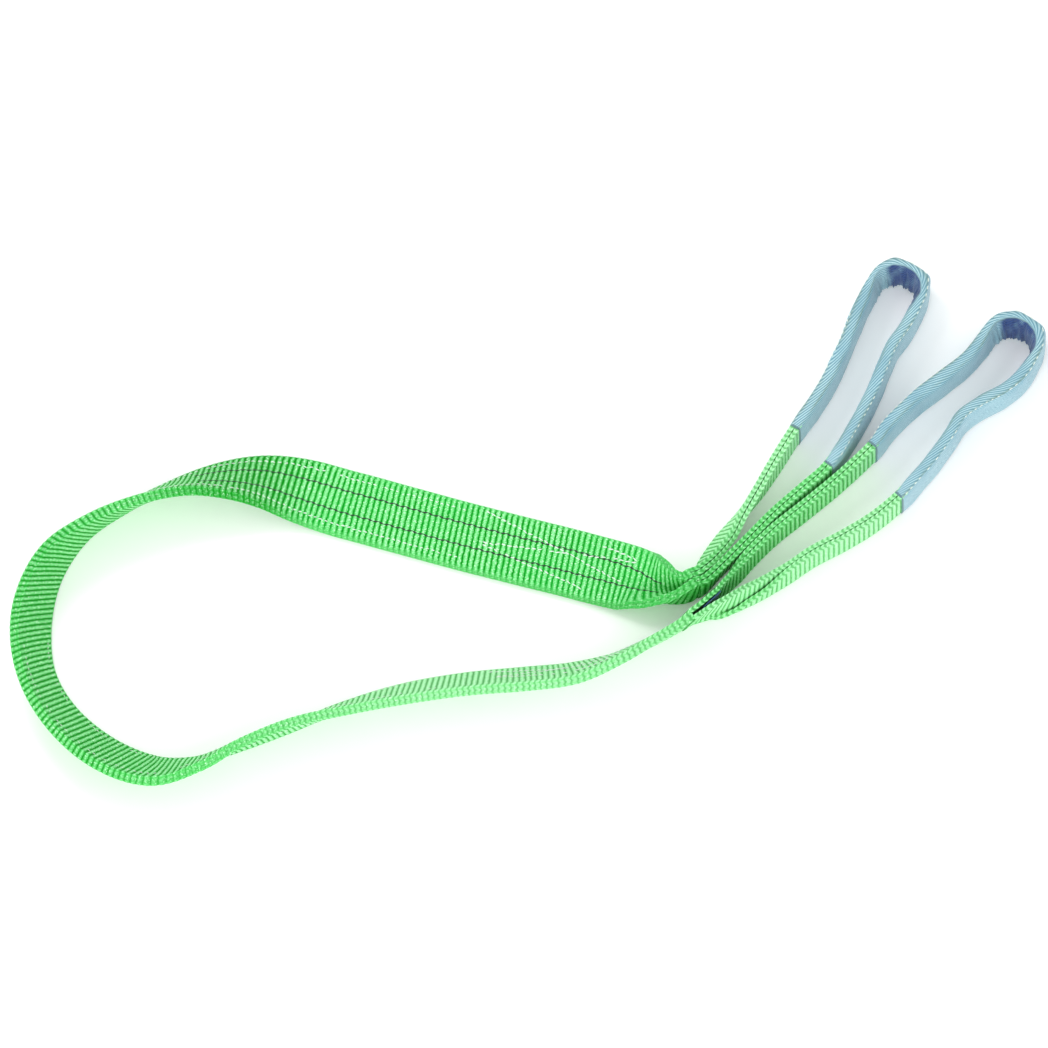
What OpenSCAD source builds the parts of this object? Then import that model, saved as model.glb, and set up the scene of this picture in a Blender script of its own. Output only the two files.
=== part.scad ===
// Flat web sling, 2 tonne class, laid out on a flat surface.
// Two plies of 60 mm web lie face to face along the body and part at each throat into a soft eye.
// +Z is up and the sling rests on z = 0. The web is bent and turned along hand-set route rows.

/* [Webbing] */
// Width of the web
web_w = 60; // [56:1:62]
// Thickness of one ply
ply_t = 4.4; // [3.6:0.1:4.4]
// Gap between neighbouring plies
ply_gap = 0.2; // [0.1:0.05:0.3]
// Width of one black tracer yarn line
tracer_w = 1.4; // [0.8:0.1:2]
// Distance between the two tracer lines
tracer_gap = 20; // [16:1:24]

/* [Eye sleeves] */
// Thickness across the sleeve, outside
sleeve_t = 13.6; // [13:0.1:14]
// Height of the sleeve, outside
sleeve_h = 34.4; // [34:0.1:36]
// Thickness of the sleeve cloth
sleeve_wall = 1.4; // [1:0.1:1.5]
// Inside radius of the bearing point of each eye
bearing_r = 15; // [14:0.5:16]
// Length of the turned hem at each sleeve mouth
hem_l = 3; // [2:0.5:4]

/* [Stitching and label] */
// Width of a row of stitches
stitch_w = 1.4; // [1:0.1:2]
// Height of a row of stitches above the face
stitch_h = 0.5; // [0.3:0.1:0.8]
// Distance of the edge seams from the middle of the web
seam_w = 22; // [18:1:24]
// Height of the label
label_h = 27; // [20:1:29]
// Thickness of the label
label_t = 0.6; // [0.4:0.1:0.8]

/* [Hidden] */

web_green = [0.16, 0.78, 0.30];
web_shade = [0.12, 0.66, 0.25];
sleeve_blue = [0.49, 0.69, 0.76];
thread_white = [0.93, 0.95, 0.92];
tracer_black = [0.05, 0.07, 0.06];
label_blue = [0.10, 0.20, 0.50];

half_w = web_w / 2;
// Middle of the ground that the sling covers, in the route's own figures
middle = [2.1, -16.4];
// Distance from the middle of the pair of plies to its outer face
pair_half = ply_t + ply_gap / 2;
// Half length of the rounded turn where the pair, or one ply, folds on itself
pair_turn = 7.3;
ply_turn = 3.6;
// Height of the web above the surface inside a sleeve
sleeve_lift = sleeve_wall + 0.3;
// Space between a face and the thread, yarn or hem laid on it
trim_gap = 0.15;
// The tracer yarns lie a little higher, and the splice stitches cross above them
tracer_t = 0.3;
yarn_gap = 0.35;
splice_gap = yarn_gap + tracer_t + 0.1;
// Radius of the line along the middle of the sleeve at the bearing point
crown_r = bearing_r + sleeve_t / 2;
// Corner radii of the sleeve, inside and outside
inner_corner = 1;
outer_corner = inner_corner + sleeve_wall;

// A route row is [x, y, tilt, fold, fold line, lift].
// tilt is the angle of the upper part of the web, 0 flat and 90 on edge.
// fold is how far the rest is folded back, 0 open and 180 closed, along the fold line,
// which is measured across the web from its middle. lift is the height above the surface.

// Body from throat A, round the left-hand loop, to throat B
body_rows = [
    [142, -64, 90, 180, 0, 0],
    [134, -69, 88, 175, 0, 0],
    [122, -70, 68, 142, 0, 0],
    [106, -65, 40, 95, 0, 0],
    [86, -55, 12, 25, 0, 0],
    [50, -43, 0, 0, 0, 0],
    [0, -29, 0, 0, 0, 0],
    [-50, -15, 0, 0, 0, 0],
    [-100, 0, 0, 0, 0, 0],
    [-150, 15, 0, 0, 0, 0],
    [-185, 25, 6, 0, 0, 0],
    [-220, 30, 24, 0, 0, 0],
    [-255, 28, 42, 0, 0, 0],
    [-290, 20, 58, 0, 0, 0],
    [-330, 4, 70, 0, 0, 0],
    [-368, -19, 81, 0, 0, 0],
    [-399, -54, 101, 0, 0, 0],
    [-414, -100, 115, 0, 0, 0],
    [-412, -147, 121, 0, 0, 0],
    [-392, -189, 128, 0, 0, 0],
    [-357, -223, 134, 0, 0, 0],
    [-316, -241, 133, 0, 0, 0],
    [-278, -237, 120, 0, 0, 0],
    [-245, -222, 111, 0, 0, 0],
    [-200, -203, 109, 0, 0, 0],
    [-150, -185, 118, 0, 0, 0],
    [-100, -171, 124, 0, 0, 0],
    [-50, -162, 126, 0, 0, 0],
    [0, -157, 127, 0, 0, 0],
    [40, -152, 125, 0, 0, 0],
    [75, -140, 117, 0, 0, 0],
    [100, -127, 112, 0, 0, 0],
    [125, -112, 110, 0, 0, 0],
    [135, -104, 108, 0, 0, 0]
];
// Rows of the body where one stretch ends and the next starts
body_end = len(body_rows) - 1;
loop_row = 17;
near_row = 27;
joint_gap = 0.006;

// Bearing point of each eye: centre, last angle and first angle of its arc
crown_a = [312, 203, -24, 155];
crown_b = [409, 154, -25, 143];
function end_row(crown, angle, fold) =
    [crown[0] + crown_r * cos(angle), crown[1] + crown_r * sin(angle), 90, fold, 0, sleeve_lift];

// Eye legs, from the throat to the bearing point
eye_a_left_rows = [
    [139.9, -59.9, 90, 180, 0, 0],
    [146, -55.8, 84, 180, 0, 0],
    [153, -44, 66, 180, 0, 0],
    [168, -22, 59, 180, 0, 0],
    [181, -2, 72, 180, 0, 0],
    [196, 21, 84, 180, 0, 0],
    [211, 47, 90, 180, 0, 0],
    [227, 74, 90, 180, 0, sleeve_lift],
    [243, 99, 90, 180, 0, sleeve_lift],
    [256, 122, 90, 180, 0, sleeve_lift],
    [266, 145, 90, 180, 0, sleeve_lift],
    [275, 168, 90, 180, 0, sleeve_lift],
    [283, 190, 90, 180, 0, sleeve_lift],
    end_row(crown_a, crown_a[3], 180)
];
eye_a_right_rows = [
    [145, -67.6, 90, -180, 0, 0],
    [152, -63.8, 84, -180, 0, 0],
    [165, -49.5, 80, -180, 0, 0],
    [187, -26, 82, -180, 0, 0],
    [209, -3, 86, -180, 0, 0],
    [231, 17, 90, -180, 0, 0],
    [255, 40, 90, -180, 0, sleeve_lift],
    [275, 74, 90, -180, 0, sleeve_lift],
    [291, 106, 90, -180, 0, sleeve_lift],
    [301, 132, 90, -180, 0, sleeve_lift],
    [309, 152, 90, -180, 0, sleeve_lift],
    [321, 171, 90, -180, 0, sleeve_lift],
    end_row(crown_a, crown_a[2], -180)
];
eye_b_left_rows = [
    [133.6, -101.4, 108, 0, -26, 1.5],
    [139.5, -96.5, 108, 0, -26, 1],
    [148, -88.5, 106, -60, -26, 0.5],
    [157.5, -78, 102, -150, -24, 0],
    [168, -67, 96, -177, -15, 0],
    [178.5, -54, 91, -178, -5, 0],
    [190, -39.5, 90, -180, 0, 0],
    [210, -18, 90, -180, 0, 0],
    [233, 2, 90, -180, 0, 0],
    [262, 28, 90, -180, 0, 0],
    [292, 58, 90, -180, 0, sleeve_lift],
    [306, 78, 90, -180, 0, sleeve_lift],
    [328, 102, 90, -180, 0, sleeve_lift],
    [350, 121, 90, -180, 0, sleeve_lift],
    [372, 140, 90, -180, 0, sleeve_lift],
    end_row(crown_b, crown_b[3], -180)
];
eye_b_right_rows = [
    [138, -106, 108, 0, -26, 0],
    [144, -101.5, 108, 0, -26, 0],
    [154.5, -96, 107, 60, -26, 0],
    [167.5, -88, 104, 150, -24, 0],
    [181.5, -79.5, 98, 176, -16, 0],
    [199, -70.5, 94, 176, -7, 0],
    [220.5, -55, 90, 180, 0, 0],
    [242, -39, 90, 180, 0, 0],
    [268, -24, 90, 180, 0, 0],
    [292, -8, 90, 180, 0, 0],
    [314, 11, 90, 180, 0, sleeve_lift],
    [327, 27, 90, 180, 0, sleeve_lift],
    [342, 46, 90, 180, 0, sleeve_lift],
    [357, 69, 90, 180, 0, sleeve_lift],
    [367, 86, 90, 180, 0, sleeve_lift],
    [384, 99, 90, 180, 0, sleeve_lift],
    [403, 110, 90, 180, 0, sleeve_lift],
    [419, 126, 90, 180, 0, sleeve_lift],
    end_row(crown_b, crown_b[2], 180)
];
// Row at which the sleeve of each leg starts
eye_a_left_mouth = 7;
eye_a_right_mouth = 6;
eye_b_left_mouth = 10;
eye_b_right_mouth = 10;

// Label, standing between the legs of eye B and leaning with them
label_rows = [
    [144.1, -97.6, 108, 0, 0, 29],
    [149.1, -93.1, 107, 0, 0, 29],
    [154.6, -88.1, 105, 0, 0, 27],
    [160.6, -82.6, 102, 0, 0, 25]
];

// Rows of stitches of a throat, each [first row, across, last row, across]
throat_a_lines = [
    [6.8, -26, 4.1, 7],
    [6.7, 3, 5.35, -6],
    [5.1, -8, 3.9, -16],
    [6.7, 5, 4.9, 22],
    [4.8, -21, 3.9, -18]
];
throat_b_lines = [
    [27.4, -18, 30.2, 7],
    [27.5, 3, 28.9, -6],
    [29.2, -8, 31.2, -16],
    [27.5, 5, 29.8, 20],
    [30.2, -21, 31.4, -18]
];

// ---- Curves ----

// A smooth curve through the rows: whole numbers of t are the rows themselves
function row_at(rows, t) =
    let (
        last = len(rows) - 1,
        i = max(0, min(floor(t), last - 1)),
        f = t - i,
        b = rows[i],
        c = rows[i + 1],
        a = i > 0 ? rows[i - 1] : 2 * b - c,
        d = i + 2 <= last ? rows[i + 2] : 2 * c - b
    )
    0.5 * (2 * b + (c - a) * f + (2 * a - 5 * b + 4 * c - d) * f * f
        + (3 * b - 3 * c + d - a) * f * f * f);

// Unit vector to the left of the route, seen from above
function left_of(rows, t) =
    let (
        p = row_at(rows, max(0, t - 0.02)),
        q = row_at(rows, min(len(rows) - 1, t + 0.02)),
        heading = atan2(q[1] - p[1], q[0] - p[0])
    )
    [-sin(heading), cos(heading)];

function steps(first, last, count) = [for (i = [0:count]) first + (last - first) * i / count];

function reversed(list) = [for (i = [len(list) - 1:-1:0]) list[i]];

// ---- Cross-sections ----

// Point of a web section in its own plane, at the distance across from the middle
// and at the offset from the middle of its thickness
function web_point(row, turn, across, offset) =
    let (
        s = across - row[4],
        c = max(-turn, min(turn, s)),
        start = row[2] - row[3] / 2,
        rate = row[3] / (2 * turn),
        angle = start + rate * c,
        arc = abs(row[3]) < 0.01
            ? c * [cos(start), sin(start)]
            : [sin(angle) - sin(start), cos(start) - cos(angle)] * 180 / PI / rate
    )
    arc + (s - c) * [cos(angle), sin(angle)] + offset * [-sin(angle), cos(angle)];

// Places across the web where its section needs a point
function web_places(row, turn) =
    [-half_w, row[4] - turn, row[4] - turn / 2, row[4], row[4] + turn / 2, row[4] + turn, half_w];

// The same for the doubled body, with a place under each edge seam
function body_places(row) =
    let (places = web_places(row, pair_turn))
    concat(places[0], -seam_w, [for (i = [1:5]) places[i]], seam_w, places[6]);

// Middle and lowest point of a section whose whole thickness is 2 * half_t
function footing(row, turn, half_t) =
    let (
        points = [for (w = web_places(row, turn), d = [-half_t, half_t]) web_point(row, turn, w, d)],
        us = [for (p = points) p[0]],
        zs = [for (p = points) p[1]]
    )
    [(min(us) + max(us)) / 2, min(zs)];

// Closed ring across a band of the web, between two offsets from the middle of its thickness.
// side is 1 where the route runs with the body and -1 where it runs against it.
function web_ring(rows, t, side, turn, half_t, places, low, high) =
    let (
        row = row_at(rows, t),
        foot = footing(row, turn, half_t),
        left = side * left_of(rows, t),
        flat = concat(
            [for (w = places) web_point(row, turn, w, low)],
            [for (w = reversed(places)) web_point(row, turn, w, high)]
        ),
        ring = [for (p = flat) [
            row[0] - middle[0] + left[0] * (p[0] - foot[0]),
            row[1] - middle[1] + left[1] * (p[0] - foot[0]),
            p[1] - foot[1] + max(0, row[5])
        ]]
    )
    side > 0 ? ring : reversed(ring);

// Ring from points [u, z] of an upright section: u is to the left of the route
function upright_ring(rows, t, section) =
    let (row = row_at(rows, t), left = left_of(rows, t))
    [for (p = section) [
        row[0] - middle[0] + left[0] * p[0], row[1] - middle[1] + left[1] * p[0], p[1]
    ]];

// The same for a section that leans with its row and stands at its row's lift
function leaning_ring(rows, t, section) =
    let (row = row_at(rows, t), lean = 1 / tan(row[2]))
    [for (p = upright_ring(rows, t, [for (q = section) [q[0] + lean * q[1], q[1]]]))
        [p[0], p[1], p[2] + row[5]]];

// Rounded rectangle of points, from its width, lowest and highest point and corner radius
function rounded(width, low, high, r) =
    [for (corner = [[1, high, 0], [-1, high, 90], [-1, low, 180], [1, low, 270]], a = [0, 45, 90])
        let (z = corner[1] == high ? high - r : low + r)
        [corner[0] * (width / 2 - r) + r * cos(corner[2] + a), z + r * sin(corner[2] + a)]];

// ---- Solids ----

function two_triangles(a, b, c, d) = [[a, c, b], [a, d, c]];

// Both faces of a band are split along the same diagonals, and the two halves of one that folds
// along mirrored diagonals, so that twisted plies and folded halves stay apart
function side_faces(count, n, start, flip, folds) =
    [for (i = [0:count - 2], j = [0:n - 1])
        let (
            a = start + i * n + j,
            b = start + i * n + (j + 1) % n,
            span = 2 * j < n ? j : n - 2 - j,
            first_half = !folds || 4 * span < n - 2,
            quad = (2 * j < n) == first_half
                ? two_triangles(a, b, b + n, a + n)
                : two_triangles(b, b + n, a + n, a)
        )
        each flip ? [for (f = quad) reversed(f)] : quad];

// Solid through a list of rings that are bands: the ends are closed across the band
module band(rings, folds = false) {
    n = len(rings[0]);
    last = (len(rings) - 1) * n;
    first_end = [for (j = [0:n / 2 - 2]) each two_triangles(j, n - 1 - j, n - 2 - j, j + 1)];
    last_end = [for (f = first_end) [f[2] + last, f[1] + last, f[0] + last]];
    polyhedron(
        points = [for (ring = rings) each ring],
        faces = concat(side_faces(len(rings), n, 0, false, folds), first_end, last_end)
    );
}

// Hollow tube through matching lists of outer and inner rings
module tube(outer, inner) {
    n = len(outer[0]);
    count = len(outer);
    inside = count * n;
    last = (count - 1) * n;
    first_end = [for (j = [0:n - 1])
        each two_triangles(j, inside + j, inside + (j + 1) % n, (j + 1) % n)];
    last_end = [for (f = first_end) [f[2] + last, f[1] + last, f[0] + last]];
    polyhedron(
        points = concat([for (ring = outer) each ring], [for (ring = inner) each ring]),
        faces = concat(
            side_faces(count, n, 0, false, false), side_faces(count, n, inside, true, false),
            first_end, last_end
        )
    );
}

// One ply of the body between two rows, above or below the middle of the pair
module body_ply(first, last, count, layer) {
    low = layer > 0 ? ply_gap / 2 : -pair_half;
    band([for (t = steps(first, last, count))
        web_ring(body_rows, t, 1, pair_turn, pair_half,
            body_places(row_at(body_rows, t)), low, low + ply_t)]);
}

// Line of thread or yarn on the upper face of the body, at a height above that face
module body_line(first, last, count, across_first, across_last, width, gap, height) {
    low = pair_half + gap;
    band([for (t = steps(first, last, count))
        let (w = across_first + (across_last - across_first) * (t - first) / (last - first))
        web_ring(body_rows, t, 1, pair_turn, pair_half,
            [w - width / 2, w + width / 2], low, low + height)]);
}

module throat_lines(lines) {
    for (line = lines)
        body_line(line[0], line[2], 8, line[1], line[3], stitch_w, splice_gap, stitch_h);
}

// Folded web of one leg of an eye
module leg(rows, side) {
    last = len(rows) - 1;
    band([for (t = steps(0, last - 0.02, 2 * last))
        web_ring(rows, t, side, ply_turn, ply_t / 2,
            web_places(row_at(rows, t), ply_turn), -ply_t / 2, ply_t / 2)], true);
}

// Tube round one leg between two places on its route
module leg_tube(rows, first, last, count, outer, inner) {
    places = steps(first, last, count);
    tube(
        [for (t = places) upright_ring(rows, t, outer)],
        [for (t = places) upright_ring(rows, t, inner)]
    );
}

module leg_sleeve(rows, mouth) {
    last = len(rows) - 1;
    leg_tube(rows, mouth, last - 0.02, 2 * (last - mouth),
        rounded(sleeve_t, 0, sleeve_h, outer_corner),
        rounded(sleeve_t - 2 * sleeve_wall, sleeve_wall, sleeve_h - sleeve_wall, inner_corner));
}

// Turned hem that closes the mouth of a sleeve round the web
module leg_hem(rows, mouth) {
    step = norm(rows[mouth] - rows[mouth - 1]);
    leg_tube(rows, mouth - hem_l / step, mouth - 0.1 / step, 1,
        rounded(sleeve_t - 1.6, 0.5, sleeve_h - 0.5, 1.5),
        rounded(2 * ply_t + 1.2, 1, sleeve_h - 1.4, 0.5));
}

// Row of stitches along the top of a sleeve, towards the outside of the eye
module leg_seam(rows, mouth, outward) {
    last = len(rows) - 1;
    low = sleeve_h + trim_gap;
    mid = outward * (sleeve_t / 2 - outer_corner - stitch_w / 2);
    section = [
        [mid - stitch_w / 2, low], [mid + stitch_w / 2, low],
        [mid + stitch_w / 2, low + stitch_h], [mid - stitch_w / 2, low + stitch_h]
    ];
    band([for (t = steps(mouth + 0.05, last - 0.05, 2 * (last - mouth)))
        upright_ring(rows, t, section)]);
}

// Curved piece at the bearing point, from a profile of [radius from its middle line, height]
module bearing_arc(crown) {
    translate([crown[0] - middle[0], crown[1] - middle[1], 0])
        rotate([0, 0, crown[2]])
            rotate_extrude(angle = crown[3] - crown[2], $fn = 96)
                translate([crown_r, 0])
                    children();
}

module bearing_sleeve(crown) {
    bearing_arc(crown)
        difference() {
            polygon(rounded(sleeve_t, 0, sleeve_h, outer_corner));
            polygon(rounded(sleeve_t - 2 * sleeve_wall, sleeve_wall, sleeve_h - sleeve_wall,
                inner_corner));
        }
}

module bearing_web(crown) {
    bearing_arc(crown)
        translate([-ply_t, sleeve_lift])
            square([2 * ply_t, half_w]);
}

module bearing_seam(crown) {
    bearing_arc(crown)
        translate([sleeve_t / 2 - outer_corner - stitch_w, sleeve_h + trim_gap])
            square([stitch_w, stitch_h]);
}

// ---- Far run: throat A to the left-hand loop ----

module far_run_upper_ply() {
    color(web_green) body_ply(0, loop_row - joint_gap, 3 * loop_row, 1);
}

module far_run_lower_ply() {
    color(web_shade) body_ply(0, loop_row - joint_gap, 3 * loop_row, -1);
}

module far_run_tracer_yarns() {
    color(tracer_black)
        for (w = [-tracer_gap / 2, tracer_gap / 2])
            body_line(14 / 3, 12, 22, w, w, tracer_w, yarn_gap, tracer_t);
}

module far_run_edge_seams() {
    color(thread_white)
        for (w = [-seam_w, seam_w])
            body_line(7, 14, 21, w, w, stitch_w, trim_gap, stitch_h);
}

module throat_a_stitching() {
    color(thread_white) throat_lines(throat_a_lines);
}

// ---- Loop: round the left-hand end ----

module loop_outer_ply() {
    color(web_green)
        body_ply(loop_row + joint_gap, near_row - joint_gap, 3 * (near_row - loop_row), 1);
}

module loop_inner_ply() {
    color(web_shade)
        body_ply(loop_row + joint_gap, near_row - joint_gap, 3 * (near_row - loop_row), -1);
}

module loop_edge_seams() {
    color(thread_white)
        for (w = [-seam_w, seam_w])
            body_line(loop_row + 1 / 3, near_row - 1 / 3, 28, w, w, stitch_w, trim_gap, stitch_h);
}

// ---- Near run: to throat B ----

module near_run_outer_ply() {
    color(web_green) body_ply(near_row + joint_gap, body_end, 4 * (body_end - near_row), 1);
}

module near_run_inner_ply() {
    color(web_shade) body_ply(near_row + joint_gap, body_end, 4 * (body_end - near_row), -1);
}

module near_run_edge_seams() {
    color(thread_white)
        for (w = [-seam_w, seam_w])
            body_line(near_row + 0.25, near_row + 3, 11, w, w, stitch_w, trim_gap, stitch_h);
}

module throat_b_stitching() {
    color(thread_white) throat_lines(throat_b_lines);
}

// ---- Eye A ----

module eye_a_left_leg() {
    color(web_green) leg(eye_a_left_rows, -1);
}

module eye_a_right_leg() {
    color(web_green) leg(eye_a_right_rows, -1);
}

module eye_a_crown_web() {
    color(web_green) bearing_web(crown_a);
}

module eye_a_sleeve_left() {
    color(sleeve_blue) leg_sleeve(eye_a_left_rows, eye_a_left_mouth);
}

module eye_a_sleeve_right() {
    color(sleeve_blue) leg_sleeve(eye_a_right_rows, eye_a_right_mouth);
}

module eye_a_sleeve_bearing() {
    color(sleeve_blue) bearing_sleeve(crown_a);
}

module eye_a_sleeve_seam() {
    color(thread_white) {
        leg_seam(eye_a_left_rows, eye_a_left_mouth, 1);
        leg_seam(eye_a_right_rows, eye_a_right_mouth, -1);
        bearing_seam(crown_a);
    }
}

module eye_a_sleeve_hems() {
    color(sleeve_blue) {
        leg_hem(eye_a_left_rows, eye_a_left_mouth);
        leg_hem(eye_a_right_rows, eye_a_right_mouth);
    }
}

// ---- Eye B ----

module eye_b_left_leg() {
    color(web_green) leg(eye_b_left_rows, 1);
}

module eye_b_right_leg() {
    color(web_green) leg(eye_b_right_rows, 1);
}

module eye_b_crown_web() {
    color(web_green) bearing_web(crown_b);
}

module eye_b_sleeve_left() {
    color(sleeve_blue) leg_sleeve(eye_b_left_rows, eye_b_left_mouth);
}

module eye_b_sleeve_right() {
    color(sleeve_blue) leg_sleeve(eye_b_right_rows, eye_b_right_mouth);
}

module eye_b_sleeve_bearing() {
    color(sleeve_blue) bearing_sleeve(crown_b);
}

module eye_b_sleeve_seam() {
    color(thread_white) {
        leg_seam(eye_b_left_rows, eye_b_left_mouth, 1);
        leg_seam(eye_b_right_rows, eye_b_right_mouth, -1);
        bearing_seam(crown_b);
    }
}

module eye_b_sleeve_hems() {
    color(sleeve_blue) {
        leg_hem(eye_b_left_rows, eye_b_left_mouth);
        leg_hem(eye_b_right_rows, eye_b_right_mouth);
    }
}

// ---- Label ----

module label() {
    section = [
        [-label_t / 2, 0], [label_t / 2, 0],
        [label_t / 2, label_h], [-label_t / 2, label_h]
    ];
    color(label_blue)
        band([for (t = steps(0, len(label_rows) - 1, 6)) leaning_ring(label_rows, t, section)]);
}

module label_stitching() {
    inner = -label_t / 2 - trim_gap;
    section = [
        [inner - stitch_h, 3], [inner, 3],
        [inner, label_h - 3], [inner - stitch_h, label_h - 3]
    ];
    color(thread_white)
        band([for (t = [1.4, 1.6]) leaning_ring(label_rows, t, section)]);
}

far_run_upper_ply();
far_run_lower_ply();
far_run_tracer_yarns();
far_run_edge_seams();
throat_a_stitching();
loop_outer_ply();
loop_inner_ply();
loop_edge_seams();
near_run_outer_ply();
near_run_inner_ply();
near_run_edge_seams();
throat_b_stitching();
eye_a_left_leg();
eye_a_right_leg();
eye_a_crown_web();
eye_a_sleeve_left();
eye_a_sleeve_right();
eye_a_sleeve_bearing();
eye_a_sleeve_seam();
eye_a_sleeve_hems();
eye_b_left_leg();
eye_b_right_leg();
eye_b_crown_web();
eye_b_sleeve_left();
eye_b_sleeve_right();
eye_b_sleeve_bearing();
eye_b_sleeve_seam();
eye_b_sleeve_hems();
label();
label_stitching();
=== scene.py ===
import bpy
import math
from collections import namedtuple
import numpy as np
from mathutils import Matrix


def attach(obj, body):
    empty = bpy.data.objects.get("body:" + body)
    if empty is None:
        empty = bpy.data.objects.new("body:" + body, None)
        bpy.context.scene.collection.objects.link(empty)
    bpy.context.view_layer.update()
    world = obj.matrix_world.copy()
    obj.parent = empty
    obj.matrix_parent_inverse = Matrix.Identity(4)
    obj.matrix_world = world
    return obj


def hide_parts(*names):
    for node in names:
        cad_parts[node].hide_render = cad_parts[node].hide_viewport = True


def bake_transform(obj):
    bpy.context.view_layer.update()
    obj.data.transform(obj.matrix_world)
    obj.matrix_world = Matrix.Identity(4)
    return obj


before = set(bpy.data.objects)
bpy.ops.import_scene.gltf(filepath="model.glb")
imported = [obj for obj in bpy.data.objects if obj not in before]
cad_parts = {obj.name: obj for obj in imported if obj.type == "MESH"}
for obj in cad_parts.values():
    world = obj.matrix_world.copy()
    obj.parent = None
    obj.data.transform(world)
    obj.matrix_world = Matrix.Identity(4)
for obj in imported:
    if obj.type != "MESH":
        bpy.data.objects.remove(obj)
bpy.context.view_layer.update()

MM = 0.001
UV_MM = 100          # millimetres of cloth in one unit of UV
MIDDLE = np.array([2.1, -16.4])   # middle of the layout, taken off every route
PITCH = 4.9          # one rib of the web, along it
COLUMN = 2.4         # one row of the knitted edge, across it
RING_STEP = PITCH / 6
HALF_W = 30.0        # half the width of the web
PLY_T = 4.4
PLY_GAP = 0.2
PAIR_HALF = PLY_T + PLY_GAP / 2   # half the thickness of the doubled web
PAIR_TURN = 7.3      # half the width that a fold takes in the doubled web
PLY_TURN = 3.6       # and in a single ply
SEAM_AT = 22         # edge stitching, from the middle line of the web
TRACER_AT = 10.0     # tracer yarns, from the same line
SLEEVE_LIFT = 1.7    # height off the floor of the web inside a sleeve
SLEEVE_HALF_W = 6.15
SLEEVE_HALF_H = 16.9
SLEEVE_MID = 17.2    # height of the middle of a sleeve
SLEEVE_TOP = 36.2
SLEEVE_WALL = 1.25
SLEEVE_POINTS = 64   # round one section of a sleeve
WELT_ANGLE = 1.15    # where the welt lies on that section, in radians
HEM_HALF_W = 4.75
HEM_HALF_H = 16.0
LABEL_TALL = 27.0
LABEL_HALF_T = 0.3
CROWN_R = 21.8       # bend of the web at each bearing point
CROWN_A = (312, 203, -24, 155)    # its centre, and the angles of its right and left ends
CROWN_B = (409, 154, -25, 143)


def end_row(crown, angle, fold):
    """The last row of a leg, where the bend at the bearing point starts."""
    a = math.radians(angle)
    x = crown[0] + CROWN_R * math.cos(a)
    y = crown[1] + CROWN_R * math.sin(a)
    return [x, y, 90, fold, 0, SLEEVE_LIFT]


# Route rows: x, y, tilt, fold, fold line and lift, as in the CAD source
BODY = np.array([
    [142, -64, 90, 180, 0, 0], [134, -69, 88, 175, 0, 0], [122, -70, 68, 142, 0, 0],
    [106, -65, 40, 95, 0, 0], [86, -55, 12, 25, 0, 0], [50, -43, 0, 0, 0, 0], [0, -29, 0, 0, 0, 0],
    [-50, -15, 0, 0, 0, 0], [-100, 0, 0, 0, 0, 0], [-150, 15, 0, 0, 0, 0], [-185, 25, 6, 0, 0, 0],
    [-220, 30, 24, 0, 0, 0], [-255, 28, 42, 0, 0, 0], [-290, 20, 58, 0, 0, 0], [-330, 4, 70, 0, 0, 0],
    [-368, -19, 81, 0, 0, 0], [-399, -54, 101, 0, 0, 0], [-414, -100, 115, 0, 0, 0],
    [-412, -147, 121, 0, 0, 0], [-392, -189, 128, 0, 0, 0], [-357, -223, 134, 0, 0, 0],
    [-316, -241, 133, 0, 0, 0], [-278, -237, 120, 0, 0, 0], [-245, -222, 111, 0, 0, 0],
    [-200, -203, 109, 0, 0, 0], [-150, -185, 118, 0, 0, 0], [-100, -171, 124, 0, 0, 0],
    [-50, -162, 126, 0, 0, 0], [0, -157, 127, 0, 0, 0], [40, -152, 125, 0, 0, 0],
    [75, -140, 117, 0, 0, 0], [100, -127, 112, 0, 0, 0], [125, -112, 110, 0, 0, 0],
    [135, -104, 108, 0, 0, 0]], float)
LOOP_ROW, NEAR_ROW, BODY_END = 17, 27, 33
A_LEFT = np.array([
    [139.9, -59.9, 90, 180, 0, 0], [146, -55.8, 84, 180, 0, 0], [153, -44, 66, 180, 0, 0],
    [168, -22, 59, 180, 0, 0], [181, -2, 72, 180, 0, 0], [196, 21, 84, 180, 0, 0],
    [211, 47, 90, 180, 0, 0], [227, 74, 90, 180, 0, SLEEVE_LIFT], [243, 99, 90, 180, 0, SLEEVE_LIFT],
    [256, 122, 90, 180, 0, SLEEVE_LIFT], [266, 145, 90, 180, 0, SLEEVE_LIFT],
    [275, 168, 90, 180, 0, SLEEVE_LIFT], [283, 190, 90, 180, 0, SLEEVE_LIFT],
    end_row(CROWN_A, CROWN_A[3], 180)], float)
A_RIGHT = np.array([
    [145, -67.6, 90, -180, 0, 0], [152, -63.8, 84, -180, 0, 0], [165, -49.5, 80, -180, 0, 0],
    [187, -26, 82, -180, 0, 0], [209, -3, 86, -180, 0, 0], [231, 17, 90, -180, 0, 0],
    [255, 40, 90, -180, 0, SLEEVE_LIFT], [275, 74, 90, -180, 0, SLEEVE_LIFT],
    [291, 106, 90, -180, 0, SLEEVE_LIFT], [301, 132, 90, -180, 0, SLEEVE_LIFT],
    [309, 152, 90, -180, 0, SLEEVE_LIFT], [321, 171, 90, -180, 0, SLEEVE_LIFT],
    end_row(CROWN_A, CROWN_A[2], -180)], float)
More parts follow.
